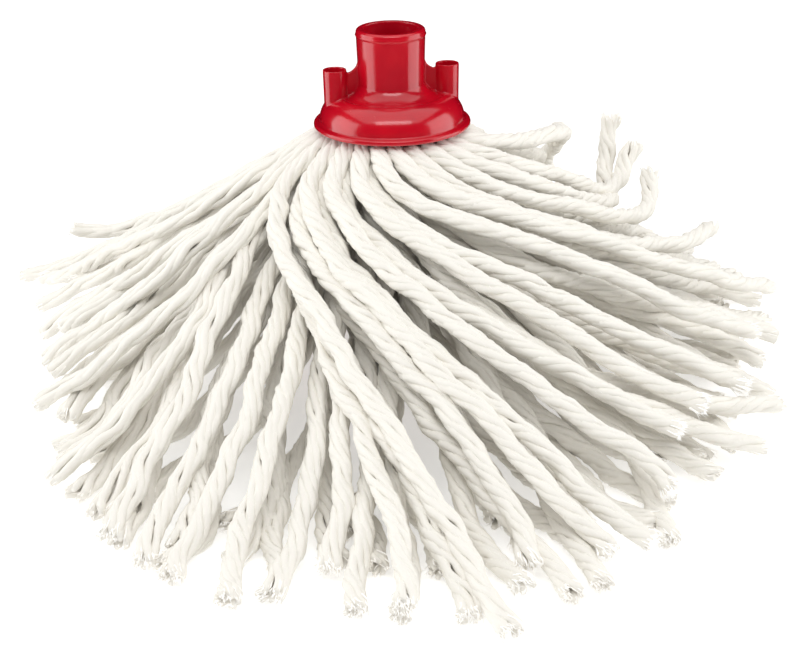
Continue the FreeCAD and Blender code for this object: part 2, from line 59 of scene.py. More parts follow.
# ---- routes of the 40 strands that reach furthest ----
# Each point is (bearing, reach, height): degrees from the front, -Y, towards +X; metres from
# the handle's axis; and metres of the strand's centre above the surface.
STRANDS = {
    # the heavy bundle that crosses from the left of the cap to the front
    "strand_sweep_01": [
        (291, 0.028, 0.111), (292, 0.037, 0.107), (297, 0.053, 0.097), (312, 0.07, 0.086),
        (330, 0.086, 0.076), (345, 0.108, 0.062), (355, 0.134, 0.046), (2, 0.162, 0.03),
        (6, 0.191, 0.016), (8, 0.218, 0.007), (9, 0.243, 0.004)],
    "strand_sweep_02": [
        (284, 0.028, 0.0976), (287, 0.037, 0.094), (295, 0.051, 0.088), (310, 0.067, 0.081),
        (329, 0.082, 0.072), (345, 0.104, 0.058), (355, 0.131, 0.041), (1, 0.159, 0.026),
        (4, 0.187, 0.013), (6, 0.211, 0.005), (6, 0.229, 0.004)],
    "strand_sweep_03": [
        (298, 0.028, 0.0976), (301, 0.037, 0.094), (310, 0.053, 0.085), (325, 0.073, 0.073),
        (340, 0.097, 0.059), (350, 0.124, 0.044), (356, 0.152, 0.03), (359, 0.18, 0.019),
        (1, 0.206, 0.011), (0, 0.226, 0.008)],
    "strand_sweep_04": [
        (298, 0.028, 0.1043), (300, 0.037, 0.101), (308, 0.052, 0.093), (325, 0.069, 0.084),
        (343, 0.089, 0.073), (358, 0.113, 0.059), (7, 0.139, 0.043), (12, 0.164, 0.027),
        (14, 0.187, 0.014), (13, 0.205, 0.006)],
    # strands that leave the front left and sweep round to the right
    "strand_sweep_05": [
        (305, 0.028, 0.111), (307, 0.037, 0.107), (314, 0.052, 0.098), (331, 0.069, 0.088),
        (348, 0.089, 0.076), (2, 0.115, 0.061), (11, 0.141, 0.045), (17, 0.167, 0.029),
        (20, 0.19, 0.015), (22, 0.209, 0.007)],
    "strand_sweep_06": [
        (312, 0.028, 0.1043), (314, 0.037, 0.101), (322, 0.052, 0.093), (338, 0.07, 0.083),
        (354, 0.093, 0.071), (8, 0.12, 0.055), (17, 0.147, 0.038), (22, 0.173, 0.023),
        (25, 0.194, 0.012), (27, 0.208, 0.006)],
    "strand_sweep_07": [
        (312, 0.028, 0.0976), (315, 0.037, 0.093), (323, 0.053, 0.084), (338, 0.073, 0.071),
        (352, 0.098, 0.057), (3, 0.126, 0.041), (9, 0.154, 0.025), (14, 0.182, 0.011),
        (16, 0.207, 0.005), (16, 0.225, 0.004)],
    "strand_sweep_08": [
        (319, 0.028, 0.111), (321, 0.037, 0.107), (329, 0.052, 0.098), (345, 0.07, 0.088),
        (1, 0.091, 0.076), (14, 0.115, 0.061), (23, 0.139, 0.046), (29, 0.16, 0.033),
        (33, 0.177, 0.022), (34, 0.19, 0.014)],
    "strand_sweep_09": [
        (326, 0.028, 0.1043), (328, 0.037, 0.101), (336, 0.052, 0.093), (352, 0.069, 0.084),
        (8, 0.089, 0.073), (21, 0.112, 0.059), (31, 0.135, 0.045), (38, 0.155, 0.032),
        (42, 0.171, 0.023)],
    "strand_sweep_10": [
        (333, 0.028, 0.111), (336, 0.037, 0.107), (346, 0.052, 0.098), (2, 0.068, 0.089),
        (18, 0.087, 0.078), (30, 0.109, 0.064), (38, 0.132, 0.049), (44, 0.153, 0.036),
        (48, 0.169, 0.027)],
    "strand_sweep_11": [
        (340, 0.028, 0.1043), (343, 0.037, 0.102), (352, 0.051, 0.096), (8, 0.067, 0.088),
        (25, 0.085, 0.078), (38, 0.107, 0.065), (47, 0.131, 0.05), (54, 0.154, 0.036),
        (59, 0.172, 0.024)],
    "strand_sweep_12": [
        (347, 0.028, 0.111), (352, 0.038, 0.108), (3, 0.052, 0.1), (21, 0.067, 0.092),
        (40, 0.083, 0.083), (53, 0.104, 0.07), (61, 0.128, 0.055), (67, 0.15, 0.041),
        (73, 0.166, 0.031)],
    "strand_sweep_13": [
        (354, 0.028, 0.1043), (356, 0.037, 0.1), (3, 0.052, 0.089), (12, 0.073, 0.075),
        (22, 0.098, 0.06), (31, 0.124, 0.045), (39, 0.149, 0.031), (47, 0.172, 0.018),
        (53, 0.19, 0.009)],
    "strand_sweep_14": [
        (340, 0.028, 0.0976), (344, 0.037, 0.092), (354, 0.053, 0.081), (8, 0.073, 0.068),
        (22, 0.098, 0.053), (34, 0.124, 0.04), (46, 0.149, 0.028), (56, 0.17, 0.019),
        (63, 0.184, 0.014)],
    "strand_sweep_15": [
        (1, 0.028, 0.111), (6, 0.038, 0.108), (18, 0.052, 0.101), (35, 0.066, 0.093),
        (52, 0.082, 0.084), (65, 0.102, 0.072), (75, 0.125, 0.058), (85, 0.149, 0.043),
        (94, 0.171, 0.029), (100, 0.186, 0.02)],
    "strand_sweep_16": [
        (15, 0.028, 0.111), (19, 0.037, 0.107), (30, 0.051, 0.099), (46, 0.067, 0.09),
        (61, 0.084, 0.079), (75, 0.104, 0.066), (88, 0.125, 0.056), (98, 0.144, 0.051),
        (104, 0.159, 0.05)],
    # strands that pile up behind, on the right
    "strand_rear_01": [
        (29, 0.028, 0.111), (34, 0.038, 0.107), (46, 0.052, 0.099), (62, 0.069, 0.089),
        (78, 0.087, 0.079), (93, 0.106, 0.067), (105, 0.122, 0.058), (112, 0.133, 0.061),
        (116, 0.141, 0.073)],
    "strand_rear_02": [
        (43, 0.028, 0.111), (48, 0.038, 0.107), (60, 0.053, 0.1), (76, 0.07, 0.089),
        (93, 0.088, 0.076), (108, 0.106, 0.064), (119, 0.121, 0.058), (126, 0.131, 0.067),
        (129, 0.138, 0.08), (130, 0.143, 0.092)],
    "strand_rear_03": [
        (57, 0.028, 0.111), (62, 0.038, 0.107), (74, 0.053, 0.101), (89, 0.07, 0.091),
        (103, 0.088, 0.079), (113, 0.106, 0.068), (119, 0.123, 0.062), (123, 0.138, 0.068),
        (125, 0.148, 0.079)],
    "strand_rear_04": [
        (71, 0.028, 0.111), (76, 0.038, 0.109), (88, 0.054, 0.106), (102, 0.072, 0.104),
        (117, 0.09, 0.098), (131, 0.11, 0.087), (141, 0.132, 0.073), (148, 0.154, 0.058),
        (152, 0.174, 0.044), (153, 0.19, 0.034)],
    "strand_rear_05": [
        (85, 0.028, 0.111), (89, 0.037, 0.107), (101, 0.052, 0.099), (116, 0.071, 0.09),
        (131, 0.093, 0.08), (142, 0.117, 0.067), (150, 0.143, 0.052), (156, 0.169, 0.037),
        (160, 0.193, 0.023), (162, 0.212, 0.013)],
    # the fan on the left
    "strand_left_01": [
        (235, 0.028, 0.111), (236, 0.037, 0.107), (239, 0.053, 0.096), (240, 0.076, 0.081),
        (239, 0.104, 0.065), (237, 0.133, 0.05), (236, 0.16, 0.036), (238, 0.18, 0.031),
        (240, 0.193, 0.035)],
    "strand_left_02": [
        (249, 0.028, 0.111), (250, 0.037, 0.107), (253, 0.053, 0.097), (252, 0.076, 0.082),
        (249, 0.103, 0.066), (246, 0.131, 0.049), (244, 0.16, 0.032), (244, 0.188, 0.018),
        (246, 0.213, 0.011)],
    "strand_left_03": [
        (263, 0.028, 0.111), (264, 0.037, 0.107), (267, 0.053, 0.097), (267, 0.076, 0.082),
        (263, 0.102, 0.066), (257, 0.128, 0.05), (251, 0.154, 0.034), (248, 0.178, 0.02),
        (246, 0.198, 0.011)],
    "strand_left_04": [
        (256, 0.028, 0.1043), (258, 0.037, 0.1), (261, 0.053, 0.09), (263, 0.074, 0.077),
        (262, 0.098, 0.062), (259, 0.122, 0.047), (256, 0.145, 0.032), (256, 0.166, 0.02),
        (257, 0.181, 0.012)],
    "strand_left_05": [
        (270, 0.028, 0.1043), (272, 0.037, 0.1), (276, 0.053, 0.091), (279, 0.072, 0.08),
        (279, 0.094, 0.067), (276, 0.116, 0.052), (273, 0.136, 0.038), (271, 0.153, 0.026),
        (271, 0.166, 0.018)],
    "strand_left_06": [
        (277, 0.028, 0.111), (279, 0.037, 0.107), (284, 0.053, 0.097), (289, 0.073, 0.085),
        (291, 0.095, 0.07), (290, 0.116, 0.054), (287, 0.135, 0.04), (285, 0.151, 0.029),
        (285, 0.163, 0.021)],
    "strand_left_07": [
        (284, 0.028, 0.1043), (287, 0.037, 0.101), (293, 0.053, 0.092), (300, 0.073, 0.08),
        (304, 0.096, 0.066), (303, 0.12, 0.051), (301, 0.142, 0.036), (298, 0.16, 0.024),
        (296, 0.173, 0.015)],
    "strand_left_08": [
        (256, 0.028, 0.0976), (261, 0.037, 0.093), (274, 0.052, 0.085), (291, 0.07, 0.075),
        (305, 0.093, 0.061), (312, 0.119, 0.046), (314, 0.146, 0.031), (314, 0.172, 0.016),
        (312, 0.192, 0.007)],
    "strand_left_09": [
        (270, 0.028, 0.0976), (275, 0.037, 0.093), (287, 0.053, 0.085), (302, 0.073, 0.074),
        (313, 0.098, 0.06), (320, 0.125, 0.045), (324, 0.153, 0.029), (325, 0.181, 0.014),
        (327, 0.205, 0.005)],
    "strand_left_10": [
        (284, 0.028, 0.0909), (289, 0.037, 0.085), (301, 0.054, 0.074), (314, 0.076, 0.063),
        (323, 0.102, 0.051), (328, 0.131, 0.037), (330, 0.161, 0.022), (331, 0.189, 0.009),
        (333, 0.213, 0.004)],
    "strand_left_11": [
        (298, 0.028, 0.0909), (303, 0.037, 0.084), (313, 0.054, 0.072), (323, 0.077, 0.061),
        (330, 0.104, 0.049), (334, 0.133, 0.036), (336, 0.163, 0.022), (336, 0.192, 0.008),
        (337, 0.217, 0.0038)],
    "strand_left_12": [
        (312, 0.028, 0.0909), (316, 0.037, 0.084), (325, 0.054, 0.072), (332, 0.078, 0.06),
        (337, 0.106, 0.048), (340, 0.136, 0.034), (341, 0.167, 0.02), (342, 0.198, 0.007),
        (344, 0.226, 0.0038)],
    # strands that hang down the middle of the front
    "strand_front_01": [
        (326, 0.028, 0.0976), (328, 0.037, 0.091), (334, 0.053, 0.079), (341, 0.075, 0.065),
        (346, 0.101, 0.051), (350, 0.129, 0.036), (352, 0.156, 0.022), (353, 0.18, 0.01),
        (352, 0.199, 0.005)],
    "strand_front_02": [
        (326, 0.028, 0.0909), (329, 0.037, 0.083), (334, 0.054, 0.069), (339, 0.077, 0.055),
        (343, 0.105, 0.041), (346, 0.135, 0.028), (348, 0.166, 0.015), (348, 0.195, 0.005),
        (347, 0.217, 0.0038)],
    "strand_front_03": [
        (340, 0.028, 0.0909), (342, 0.037, 0.083), (346, 0.054, 0.069), (350, 0.078, 0.054),
        (353, 0.105, 0.04), (355, 0.135, 0.027), (356, 0.166, 0.015), (355, 0.197, 0.005),
        (356, 0.224, 0.0038)],
    "strand_front_04": [
        (354, 0.028, 0.0909), (354, 0.037, 0.083), (356, 0.055, 0.069), (357, 0.08, 0.053),
        (358, 0.108, 0.038), (359, 0.139, 0.024), (0, 0.171, 0.011), (1, 0.202, 0.0042),
        (0, 0.228, 0.0038)],
    "strand_front_05": [
        (8, 0.028, 0.0909), (7, 0.037, 0.083), (6, 0.055, 0.068), (6, 0.079, 0.052),
        (7, 0.107, 0.036), (8, 0.137, 0.022), (9, 0.167, 0.009), (10, 0.194, 0.004),
        (12, 0.214, 0.0038)],
    "strand_front_06": [
        (22, 0.028, 0.0909), (21, 0.037, 0.083), (18, 0.055, 0.068), (18, 0.079, 0.052),
        (19, 0.107, 0.037), (20, 0.137, 0.023), (20, 0.168, 0.011), (20, 0.197, 0.0042),
        (19, 0.221, 0.0038)],
    "strand_front_07": [
        (0, 0.028, 0.0976), (4, 0.037, 0.091), (13, 0.054, 0.077), (24, 0.077, 0.06),
        (32, 0.103, 0.043), (37, 0.131, 0.027), (37, 0.158, 0.014), (33, 0.184, 0.005),
        (29, 0.206, 0.0038)],
}

# ---- the other 132 legs ----
# (reach, height) of a leg's centre on each way down.
SLOPES = {
    "top": (
        (0.028, 0.111), (0.037, 0.107), (0.055, 0.095), (0.08, 0.079), (0.11, 0.061),
        (0.14, 0.043), (0.17, 0.026), (0.2, 0.012), (0.24, 0.004)),
    "second": (
        (0.028, 0.1043), (0.037, 0.1), (0.055, 0.088), (0.08, 0.071), (0.11, 0.053),
        (0.14, 0.035), (0.17, 0.019), (0.2, 0.008), (0.24, 0.004)),
    "third": (
        (0.028, 0.0976), (0.037, 0.092), (0.055, 0.079), (0.08, 0.063), (0.11, 0.045),
        (0.14, 0.028), (0.17, 0.013), (0.2, 0.005), (0.24, 0.004)),
    "fourth": (
        (0.028, 0.0909), (0.037, 0.085), (0.055, 0.071), (0.08, 0.054), (0.11, 0.036),
        (0.14, 0.019), (0.17, 0.007), (0.2, 0.004), (0.24, 0.004)),
    "fourth_out": (
        (0.028, 0.0909), (0.037, 0.086), (0.055, 0.076), (0.08, 0.064), (0.11, 0.049),
        (0.14, 0.034), (0.17, 0.018), (0.2, 0.005), (0.24, 0.004)),
    "fifth": (
        (0.028, 0.0842), (0.037, 0.078), (0.055, 0.062), (0.08, 0.045), (0.11, 0.028),
        (0.14, 0.012), (0.16, 0.004), (0.24, 0.004)),
    "fifth_out": (
        (0.028, 0.0842), (0.037, 0.079), (0.055, 0.067), (0.08, 0.054), (0.11, 0.04),
        (0.14, 0.026), (0.17, 0.012), (0.195, 0.004), (0.24, 0.004)),
    "sixth": (
        (0.028, 0.0775), (0.037, 0.07), (0.055, 0.054), (0.08, 0.036), (0.11, 0.019),
        (0.14, 0.006), (0.155, 0.004), (0.24, 0.004)),
    "sixth_out": (
        (0.028, 0.0775), (0.037, 0.071), (0.055, 0.058), (0.08, 0.044), (0.11, 0.03),
        (0.14, 0.016), (0.165, 0.005), (0.2, 0.004), (0.24, 0.004)),
    "seventh": (
        (0.028, 0.0708), (0.037, 0.063), (0.055, 0.046), (0.08, 0.027), (0.105, 0.011),
        (0.125, 0.004), (0.24, 0.004)),
}
# The groups of legs in each node. A group is its way down, then for each leg the bearing at
# the fold, the bearing at the cut end and the reach of the cut end.
LEGS = {
    "strands_top_back": (
        ("top", (
            (99, 168, 0.205), (113, 175, 0.216), (127, 182, 0.198), (141, 188, 0.218),
            (155, 195, 0.206), (169, 201, 0.196), (183, 207, 0.22), (197, 212, 0.204),
            (211, 217, 0.214), (223, 223, 0.196))),
    ),
    "strands_second_right": (
        ("second", (
            (8, 84, 0.178), (22, 111, 0.172), (36, 122, 0.186), (50, 131, 0.178),
            (64, 139, 0.19))),
    ),
    "strands_second_back": (
        ("second", (
            (78, 147, 0.184), (92, 155, 0.202), (106, 164, 0.188), (120, 172, 0.206),
            (134, 180, 0.188), (148, 186, 0.21), (162, 193, 0.192), (176, 199, 0.206))),
    ),
    "strands_second_left": (
        ("second", (
            (190, 206, 0.19), (204, 212, 0.206), (218, 221, 0.192), (232, 234, 0.202),
            (244, 245, 0.186))),
    ),
    "strands_third_right": (
        ("third", (
            (14, 66, 0.18), (28, 78, 0.172), (42, 92, 0.18), (56, 104, 0.186),
            (70, 115, 0.196))),
    ),
    "strands_third_back": (
        ("third", (
            (84, 126, 0.186), (98, 136, 0.204), (112, 146, 0.192), (126, 155, 0.182),
            (140, 163, 0.206), (154, 171, 0.19), (168, 180, 0.202), (182, 190, 0.184))),
    ),
    "strands_third_left": (
        ("third", (
            (196, 199, 0.204), (210, 209, 0.188), (224, 221, 0.196), (238, 236, 0.186),
            (248, 264, 0.16))),
    ),
    "strands_fourth_right": (
        ("fourth", (
            (36, 43, 0.186), (50, 54, 0.18), (64, 70, 0.172), (78, 82, 0.17), (92, 97, 0.176))),
    ),
    "strands_fourth_back": (
        ("fourth", (
            (106, 108, 0.19), (120, 122, 0.18), (134, 135, 0.196), (148, 149, 0.182),
            (162, 160, 0.19), (176, 174, 0.2), (190, 188, 0.182), (204, 203, 0.194))),
    ),
    "strands_fourth_left": (
        ("fourth", (
            (218, 216, 0.184), (232, 230, 0.192))),
        ("fourth_out", (
            (246, 250, 0.172), (260, 276, 0.156), (272, 292, 0.164))),
    ),
    "strands_fifth_front": (
        ("fifth_out", (
            (262, 300, 0.168), (276, 312, 0.184), (290, 323, 0.196), (304, 334, 0.2))),
        ("fifth", (
            (318, 343, 0.198), (332, 352, 0.192), (346, 4, 0.2), (0, 16, 0.19), (14, 29, 0.196),
            (28, 49, 0.172))),
    ),
    "strands_fifth_side": (
        ("fifth", (
            (42, 64, 0.166), (56, 77, 0.16), (70, 90, 0.164), (84, 103, 0.17), (220, 211, 0.184),
            (234, 226, 0.188), (248, 242, 0.172))),
    ),
    "strands_fifth_back": (
        ("fifth", (
            (98, 116, 0.182), (112, 129, 0.186), (126, 142, 0.18), (140, 155, 0.186),
            (154, 167, 0.178), (168, 180, 0.188), (182, 193, 0.18), (194, 204, 0.186),
            (207, 219, 0.178))),
    ),
    "strands_sixth_front": (
        ("sixth_out", (
            (240, 286, 0.158), (253, 305, 0.176), (267, 317, 0.19), (281, 327, 0.206),
            (295, 337, 0.212))),
        ("sixth", (
            (309, 347, 0.204), (323, 357, 0.196), (337, 8, 0.208), (351, 21, 0.2),
            (5, 24, 0.184), (19, 36, 0.186))),
    ),
    "strands_sixth_around": (
        ("sixth", (
            (33, 40, 0.164), (47, 52, 0.16), (61, 66, 0.158), (75, 84, 0.162), (89, 97, 0.168),
            (103, 110, 0.174), (117, 123, 0.172), (131, 136, 0.176), (145, 149, 0.17),
            (159, 161, 0.18), (173, 174, 0.174), (187, 187, 0.178), (200, 199, 0.174),
            (213, 213, 0.176), (226, 232, 0.17))),
    ),
    "strands_inmost_front": (
        ("seventh", (
            (272, 278, 0.146), (294, 296, 0.158), (312, 309, 0.166), (330, 322, 0.172),
            (348, 338, 0.176), (6, 354, 0.172), (24, 12, 0.168), (42, 30, 0.162))),
    ),
    "strands_inmost_back": (
        ("seventh", (
            (62, 58, 0.152), (84, 78, 0.154), (106, 103, 0.16), (128, 128, 0.162),
            (150, 143, 0.164), (172, 167, 0.166), (194, 193, 0.164), (216, 222, 0.16))),
    ),
}
LEG_START_R = 0.028
LEG_STEPS = (0.0, 0.045, 0.13, 0.26, 0.41, 0.56, 0.71, 0.86, 1.0)   # shares of the way out
LEG_WANDER = 2.2                        # degrees that a leg strays from an even sweep
TOP_START = 0.111                       # height of the highest strands at the fold
PILE_DEPTH = 0.040                      # from the highest strands at the fold to the lowest


# ---------------------------------------------------------------- settings

class YarnSettings(bpy.types.PropertyGroup):
    """The cotton yarn."""
    diameter: bpy.props.FloatProperty(
        name="Diameter", description="Across one strand of yarn", default=0.0070, unit="LENGTH")
    fullness: bpy.props.FloatProperty(
        name="Fullness", description="How far the loose plies stand out past the pressed yarn",
        default=1.20, min=1.0, max=1.3)
    plies: bpy.props.IntProperty(
        name="Plies", description="Soft plies twisted into one strand", default=6, min=3, max=9)
    tight_turn: bpy.props.FloatProperty(
        name="Tight lay", description="Length of one turn where the twist is kept",
        default=0.037, unit="LENGTH")
    slack_turn: bpy.props.FloatProperty(
        name="Slack lay", description="Length of one turn where the yarn has unwound",
        default=0.150, unit="LENGTH")
    reach: bpy.props.FloatProperty(
        name="Reach", description="Furthest that a loose fibre stands from the strand's middle",
        default=0.0062, unit="LENGTH")
    flare: bpy.props.FloatProperty(
        name="Flare", description="How far the plies spread at a cut end",
        default=0.55, min=0.0, max=0.8, subtype="FACTOR")
    lint: bpy.props.IntProperty(
        name="Lint", description="Loose fibres that stand off each strand", default=260)
    clean: bpy.props.FloatVectorProperty(
        name="Clean cotton", description="Colour of the bleached plies", subtype="COLOR",
        size=3, default=(0.785, 0.79, 0.785), min=0.0, max=1.0)
    # Used for the cotton's random raw tone, and as painted shade between the plies and down in the pile.
    raw_and_shade: bpy.props.FloatVectorProperty(
        name="Raw cotton and shade", description="Colour down in the pile and between plies",
        subtype="COLOR", size=3, default=(0.66, 0.53, 0.36), min=0.0, max=1.0)
    seed: bpy.props.IntProperty(
        name="Seed", description="Starts every random draw of the yarn", default=11)


class CapSettings(bpy.types.PropertyGroup):
    """The moulded cap and the plate under it."""
    red: bpy.props.FloatVectorProperty(
        name="Red", description="Colour of the moulding", subtype="COLOR", size=3,
        default=(0.46, 0.001, 0.012), min=0.0, max=1.0)
    bright: bpy.props.FloatVectorProperty(
        name="Thin red", description="Colour where the plastic flowed thin", subtype="COLOR",
        size=3, default=(0.56, 0.002, 0.013), min=0.0, max=1.0)
    grain: bpy.props.FloatProperty(
        name="Mesh size", description="Size of the moulding's mesh", default=0.00037,
        unit="LENGTH", precision=5)


class StageSettings(bpy.types.PropertyGroup):
    """Floor, lights and camera."""
    camera_place: bpy.props.FloatVectorProperty(
        name="Camera place", description="Where the camera stands", subtype="TRANSLATION",
        unit="LENGTH", size=3, default=(0.0, -0.7191, 0.1700))
    camera_pitch: bpy.props.FloatProperty(
        name="Camera pitch", description="How far the camera looks down", subtype="ANGLE",
        default=math.radians(23.59))
    camera_yaw: bpy.props.FloatProperty(
        name="Camera yaw", description="How far the camera looks to the left", subtype="ANGLE",
        default=math.radians(-0.20))
    camera_roll: bpy.props.FloatProperty(
        name="Camera roll", description="How far the camera leans", subtype="ANGLE",
        default=math.radians(-1.0))
    lens: bpy.props.FloatProperty(
        name="Lens", description="Focal length on a 36 mm sensor", default=75.2)
    floor: bpy.props.FloatVectorProperty(
        name="Floor", description="Colour of the floor", subtype="COLOR", size=3,
        default=(0.94, 0.94, 0.94), min=0.0, max=1.0)
    floor_glow: bpy.props.FloatProperty(
        name="Floor glow", description="Light that comes through the white floor", default=0.34)
    side_watts: bpy.props.FloatProperty(
        name="Side lights", description="Power of each side softbox", default=12.0, unit="POWER")
    front_watts: bpy.props.FloatProperty(
        name="Front light", description="Power of the strip above the camera", default=7.0, unit="POWER")
    top_watts: bpy.props.FloatProperty(
        name="Top light", description="Power of the overhead softbox", default=20.0, unit="POWER")
    world_strength: bpy.props.FloatProperty(
        name="Surround", description="Strength of the white surround", default=0.32)


# ---------------------------------------------------------------- shaders

class Signal:
    """A number on its way through a material's nodes, used like a Python number."""

    def __init__(self, finish, socket):
        self.finish = finish
        self.socket = socket

    def math(self, operation, first, second=0.0):
        return self.finish.node(
            "ShaderNodeMath", {"operation": operation}, {0: first, 1: second})

    def __add__(self, other):
        return self.math("ADD", self, other)

    def __sub__(self, other):
        return self.math("SUBTRACT", self, other)

    def __rsub__(self, other):
        return self.math("SUBTRACT", other, self)

    def __mul__(self, other):
        return self.math("MULTIPLY", self, other)

    def __abs__(self):
        return self.math("ABSOLUTE", self)

    __radd__ = __add__

    def over(self, limit):
        return self.math("GREATER_THAN", self, limit)

    def sibling(self, name):
        """Another output of the same node."""
        return Signal(self.finish, self.socket.node.outputs[name])

    def eased(self, low, high):
        """0 below low, 1 above high, and a smooth step between them."""
        return self.finish.node(
            "ShaderNodeMapRange", {"interpolation_type": "SMOOTHSTEP"},
            {"Value": self, "From Min": low, "From Max": high})


class Finish:
    """A material under construction."""

    def __init__(self, name):
        self.material = bpy.data.materials.new(name)
        self.material.use_nodes = True
        self.tree = self.material.node_tree
        self.tree.nodes.clear()

    def node(self, kind, settings=None, values=None, output=0):
        """Adds a node: its settings first, then its sockets' values or links."""
        made = self.tree.nodes.new(kind)
        for name, value in (settings or {}).items():
            setattr(made, name, value)
        for socket, value in (values or {}).items():
            if isinstance(value, Signal):
                self.tree.links.new(value.socket, made.inputs[socket])
            elif value is not None:
                made.inputs[socket].default_value = value
        return Signal(self, made.outputs[output]) if made.outputs else None

    def blend(self, share, first, second):
        """A colour between two colours."""
        sockets = {0: share, 6: first, 7: second}
        sockets = {k: (*v, 1.0) if isinstance(v, tuple) else v for k, v in sockets.items()}
        return self.node("ShaderNodeMix", {"data_type": "RGBA"}, sockets, output=2)

    def noise(self, vector, scale, detail=2.0, roughness=0.5):
        return self.node(
            "ShaderNodeTexNoise", None,
            {"Vector": vector, "Scale": scale, "Detail": detail, "Roughness": roughness})

    def place(self):
        return self.node("ShaderNodeTexCoord", None, None, output="Object")

    def vector(self, x, y, z):
        return self.node("ShaderNodeCombineXYZ", None, {0: x, 1: y, 2: z})

    def attribute(self, name):
        return self.node("ShaderNodeAttribute", {"attribute_name": name}, None, output="Fac")

    def bump(self, height, distance, strength=1.0):
        return self.node(
            "ShaderNodeBump", None,
            {"Height": height, "Distance": distance, "Strength": strength})

    def surface(self, **sockets):
        """Ends the material in a Principled shader."""
        names = {name.replace("_", " "): value for name, value in sockets.items()}
        shader = self.node("ShaderNodeBsdfPrincipled", None, names)
        self.node("ShaderNodeOutputMaterial", None, {"Surface": shader})
        return self.material


def lint_finish(settings):
    """The loose fibres: thin and matt, paler than the plies and glowing a little, which is painted light
    that lifts their shade.
    """
    lint = Finish("cotton_lint")
    tone = lint.attribute("tone")
    # Random tone of the cotton, plus painted shade lower in the pile ("under").
    tone_and_shade = tone * 0.12 + lint.attribute("under") * 0.35
    return lint.surface(
        Base_Color=lint.blend(tone_and_shade, tuple(0.3 + 0.7 * c for c in settings.clean),
                              tuple(settings.raw_and_shade)),
        Roughness=0.9,
        Specular_IOR_Level=0.10,
        # Painted light: the fibres glow though they are no lamp.
        Emission_Color=(1.0, 0.97, 0.92, 1.0),
        Emission_Strength=0.22,
    )


def cotton_finish(settings):
    """Soft twisted cotton: fibre streaks along each ply, painted shade between the plies and down in the
    pile, a faint painted glow, seed flecks.
    """
    cotton = Finish("cotton_yarn")
    ply_map = cotton.node("ShaderNodeUVMap", {"uv_map": "ply"})
    around = cotton.node("ShaderNodeSeparateXYZ", None, {0: ply_map})
    along = around.sibling("Y")
    tone = cotton.attribute("tone")
    under = cotton.attribute("under")

    drift = around + along * 22.0
    streaks = cotton.noise(cotton.vector(drift * 17.0, along * 170.0, tone * 40.0), 1.0, 3.0, 0.6)
    tufts = cotton.noise(cotton.vector(around * 3.0, along * 60.0, tone * 90.0), 1.0, 2.0)
    # Painted shade between the plies: 1 on a ply's inner side, 0 on its crest.
    crest = 1.0 - abs(around - 0.5) * 2.0
    groove_shade = 1.0 - crest.eased(0.30, 0.82)

    pale = cotton.blend(streaks.eased(0.30, 0.72), tuple(c * 0.86 for c in settings.clean),
                        tuple(settings.clean))
    creamy = cotton.blend(tone * 0.08 + tufts.eased(0.45, 0.8) * 0.10, pale,
                          tuple(settings.raw_and_shade))
    # Painted shade: darker and browner between the plies and lower in the pile ("under").
    shaded = cotton.blend(groove_shade * 0.50 + under * 0.40, creamy, tuple(settings.raw_and_shade))

    cells = cotton.node("ShaderNodeTexVoronoi", None,
                        {"Vector": cotton.place(), "Scale": 210.0}, output="Distance")
    draw = cotton.node("ShaderNodeSeparateColor", None, {0: cells.sibling("Color")})
    flecks = draw.over(0.972) * (1.0 - cells.eased(0.10, 0.17))
    coloured = cotton.blend(flecks * 0.85, shaded, (0.20, 0.11, 0.05))

    height = streaks * 0.75 + tufts * 0.35
    return cotton.surface(
        Base_Color=coloured,
        # Painted light: a faint glow that lifts the shade, more orange between the plies and lower in
        # the pile.
        Emission_Color=cotton.blend(groove_shade * 0.5 + under * 0.5, (1.0, 0.90, 0.74),
                                    (1.0, 0.74, 0.48)),
        Emission_Strength=0.075,
        Roughness=0.80 + streaks * 0.18,
        Normal=cotton.bump(height, 0.00040, 1.0),
        Subsurface_Weight=0.16,
        Subsurface_Radius=(0.0030, 0.0022, 0.0015),
        Subsurface_Scale=1.0,
        Sheen_Weight=0.20,
        Sheen_Roughness=0.55,
        Specular_IOR_Level=0.12,
    )


def red_plastic_finish(settings):
    """Glossy moulded polypropylene with faint flow lines and handling marks."""
    plastic = Finish("red_plastic")
    place = plastic.place()
    flow = plastic.noise(place, 38.0, 3.0, 0.55)
    mould = plastic.noise(place, 900.0, 2.0, 0.5)
    marks = plastic.noise(
        plastic.node("ShaderNodeMapping", None, {"Vector": place, "Scale": (1.0, 1.0, 0.12)}),
        420.0, 4.0, 0.7)
    scuffs = marks.eased(0.62, 0.78)
    colour = plastic.blend(flow.eased(0.35, 0.70), tuple(settings.red), tuple(settings.bright))
    return plastic.surface(
        Base_Color=colour,
        Roughness=0.17 + flow * 0.07 + scuffs * 0.12,
        Normal=plastic.bump(mould * 0.6 + flow * 1.2, 0.00006, 0.35),
        Coat_Weight=0.55 + flow * 0.15,
        Coat_Roughness=0.13,
        Specular_IOR_Level=0.50,
        Subsurface_Weight=0.06,
        Subsurface_Radius=(0.004, 0.0006, 0.0006),
        Subsurface_Scale=1.0,
    )


def floor_finish(settings):
    """White acrylic that glows a little, with a slight unevenness."""
    paint = Finish("floor_paint")
    drift = paint.noise(paint.place(), 3.0, 2.0)
    lighter = tuple(min(1.0, c * 1.02) for c in settings.floor)
    return paint.surface(
        Base_Color=paint.blend(drift, tuple(settings.floor), lighter),
        Roughness=0.8,
        Specular_IOR_Level=0.2,
        Emission_Color=(1.0, 1.0, 1.0, 1.0),
        Emission_Strength=settings.floor_glow,
    )


# ---------------------------------------------------------------- meshes

